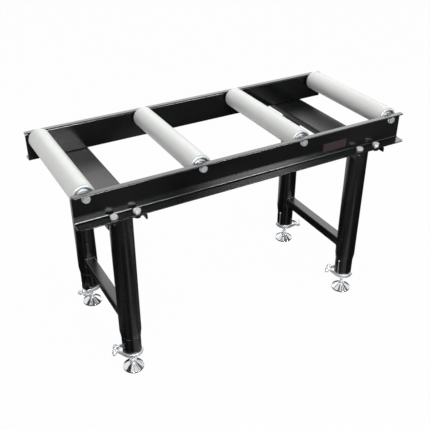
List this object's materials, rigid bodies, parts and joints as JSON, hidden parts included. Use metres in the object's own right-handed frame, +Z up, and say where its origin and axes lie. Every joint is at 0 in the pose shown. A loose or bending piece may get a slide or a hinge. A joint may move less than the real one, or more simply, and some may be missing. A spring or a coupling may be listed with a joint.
{
  "type": "roller conveyor table",
  "caption": "Free-standing roller conveyor table: free-running steel rollers between two steel side channels on draw-out tube legs with levelling feet.",
  "frame": {"origin": "on the floor under the middle of the table, the bottom centre of the bounding box", "axes": "+X along the table, +Y from the front side channel to the rear one, +Z up"},
  "size_m": [1, 0.45, 0.63],
  "materials": {
    "black_paint": "gloss black paint on steel",
    "roller_zinc": "satin zinc-plated steel tube",
    "bright_zinc": "bright zinc plate with a bluish tint",
    "chrome_plate": "polished chrome plate",
    "axle_steel": "turned bare steel",
    "bearing_steel": "ground bearing steel",
    "sole_rubber": "matt black rubber"
  },
  "bodies": {
    "frame": {"front_side_channel": "black_paint", "rear_side_channel": "black_paint", "left_cross_member": "black_paint", "right_cross_member": "black_paint", "left_stretcher": "black_paint", "right_stretcher": "black_paint", "front_left_leg_tube": "black_paint", "front_right_leg_tube": "black_paint", "rear_left_leg_tube": "black_paint", "rear_right_leg_tube": "black_paint", "front_left_leg_sleeve": "black_paint", "front_right_leg_sleeve": "black_paint", "rear_left_leg_sleeve": "black_paint", "rear_right_leg_sleeve": "black_paint", "leg_clamps": "chrome_plate", "clamp_bolts": "bright_zinc", "clamp_nuts": "bright_zinc", "leg_bolts": "bright_zinc", "leg_nuts": "black_paint", "roller_axles": "axle_steel", "axle_spacers": "axle_steel", "bearing_inner_rings": "bearing_steel", "axle_bolts": "bright_zinc", "axle_washers": "bright_zinc"},
    "roller_1": {"roller_1_tube": "roller_zinc", "roller_1_end_caps": "bright_zinc", "roller_1_bearing_outer_rings": "bearing_steel"},
    "roller_2": {"roller_2_tube": "roller_zinc", "roller_2_end_caps": "bright_zinc", "roller_2_bearing_outer_rings": "bearing_steel"},
    "roller_3": {"roller_3_tube": "roller_zinc", "roller_3_end_caps": "bright_zinc", "roller_3_bearing_outer_rings": "bearing_steel"},
    "roller_4": {"roller_4_tube": "roller_zinc", "roller_4_end_caps": "bright_zinc", "roller_4_bearing_outer_rings": "bearing_steel"},
    "front_left_extension": {"front_left_extension_tube": "roller_zinc", "front_left_extension_plug": "bright_zinc"},
    "front_left_foot": {"front_left_foot_pad": "chrome_plate", "front_left_foot_sole": "sole_rubber"},
    "front_left_spindle": {"front_left_levelling_spindle": "bright_zinc", "front_left_lock_nut": "bright_zinc"},
    "front_right_extension": {"front_right_extension_tube": "roller_zinc", "front_right_extension_plug": "bright_zinc"},
    "front_right_foot": {"front_right_foot_pad": "chrome_plate", "front_right_foot_sole": "sole_rubber"},
    "front_right_spindle": {"front_right_levelling_spindle": "bright_zinc", "front_right_lock_nut": "bright_zinc"},
    "rear_left_extension": {"rear_left_extension_tube": "roller_zinc", "rear_left_extension_plug": "bright_zinc"},
    "rear_left_foot": {"rear_left_foot_pad": "chrome_plate", "rear_left_foot_sole": "sole_rubber"},
    "rear_left_spindle": {"rear_left_levelling_spindle": "bright_zinc", "rear_left_lock_nut": "bright_zinc"},
    "rear_right_extension": {"rear_right_extension_tube": "roller_zinc", "rear_right_extension_plug": "bright_zinc"},
    "rear_right_foot": {"rear_right_foot_pad": "chrome_plate", "rear_right_foot_sole": "sole_rubber"},
    "rear_right_spindle": {"rear_right_levelling_spindle": "bright_zinc", "rear_right_lock_nut": "bright_zinc"}
  },
  "joints": [
    {"name": "roller_1_spin", "type": "hinge", "parent": "frame", "child": "roller_1", "pos_m": [-0.465, 0, 0.6], "axis": [0, 1, 0], "continuous": true},
    {"name": "roller_2_spin", "type": "hinge", "parent": "frame", "child": "roller_2", "pos_m": [-0.155, 0, 0.6], "axis": [0, 1, 0], "continuous": true},
    {"name": "roller_3_spin", "type": "hinge", "parent": "frame", "child": "roller_3", "pos_m": [0.155, 0, 0.6], "axis": [0, 1, 0], "continuous": true},
    {"name": "roller_4_spin", "type": "hinge", "parent": "frame", "child": "roller_4", "pos_m": [0.465, 0, 0.6], "axis": [0, 1, 0], "continuous": true},
    {"name": "front_left_leg_draw", "type": "slide", "parent": "frame", "child": "front_left_extension", "axis": [0, 0, -1], "range_m": [0, 0.3]},
    {"name": "front_left_foot_level", "type": "slide", "parent": "front_left_extension", "child": "front_left_foot", "axis": [0, 0, -1], "range_m": [0, 0.03]},
    {"name": "front_left_spindle_turn", "type": "hinge", "parent": "front_left_foot", "child": "front_left_spindle", "pos_m": [-0.3765, -0.1695, 0.0125], "axis": [0, 0, -1], "range_deg": [0, 6172]},
    {"name": "front_right_leg_draw", "type": "slide", "parent": "frame", "child": "front_right_extension", "axis": [0, 0, -1], "range_m": [0, 0.3]},
    {"name": "front_right_foot_level", "type": "slide", "parent": "front_right_extension", "child": "front_right_foot", "axis": [0, 0, -1], "range_m": [0, 0.03]},
    {"name": "front_right_spindle_turn", "type": "hinge", "parent": "front_right_foot", "child": "front_right_spindle", "pos_m": [0.3765, -0.1695, 0.0125], "axis": [0, 0, -1], "range_deg": [0, 6172]},
    {"name": "rear_left_leg_draw", "type": "slide", "parent": "frame", "child": "rear_left_extension", "axis": [0, 0, -1], "range_m": [0, 0.3]},
    {"name": "rear_left_foot_level", "type": "slide", "parent": "rear_left_extension", "child": "rear_left_foot", "axis": [0, 0, -1], "range_m": [0, 0.03]},
    {"name": "rear_left_spindle_turn", "type": "hinge", "parent": "rear_left_foot", "child": "rear_left_spindle", "pos_m": [-0.3765, 0.1695, 0.0125], "axis": [0, 0, -1], "range_deg": [0, 6172]},
    {"name": "rear_right_leg_draw", "type": "slide", "parent": "frame", "child": "rear_right_extension", "axis": [0, 0, -1], "range_m": [0, 0.3]},
    {"name": "rear_right_foot_level", "type": "slide", "parent": "rear_right_extension", "child": "rear_right_foot", "axis": [0, 0, -1], "range_m": [0, 0.03]},
    {"name": "rear_right_spindle_turn", "type": "hinge", "parent": "rear_right_foot", "child": "rear_right_spindle", "pos_m": [0.3765, 0.1695, 0.0125], "axis": [0, 0, -1], "range_deg": [0, 6172]}
  ],
  "couplings": [
    {"joint": "front_left_spindle_turn", "follows": "front_left_foot_level", "rad_per_m": 3590.4},
    {"joint": "front_right_spindle_turn", "follows": "front_right_foot_level", "rad_per_m": 3590.4},
    {"joint": "rear_left_spindle_turn", "follows": "rear_left_foot_level", "rad_per_m": 3590.4},
    {"joint": "rear_right_spindle_turn", "follows": "rear_right_foot_level", "rad_per_m": 3590.4}
  ]
}
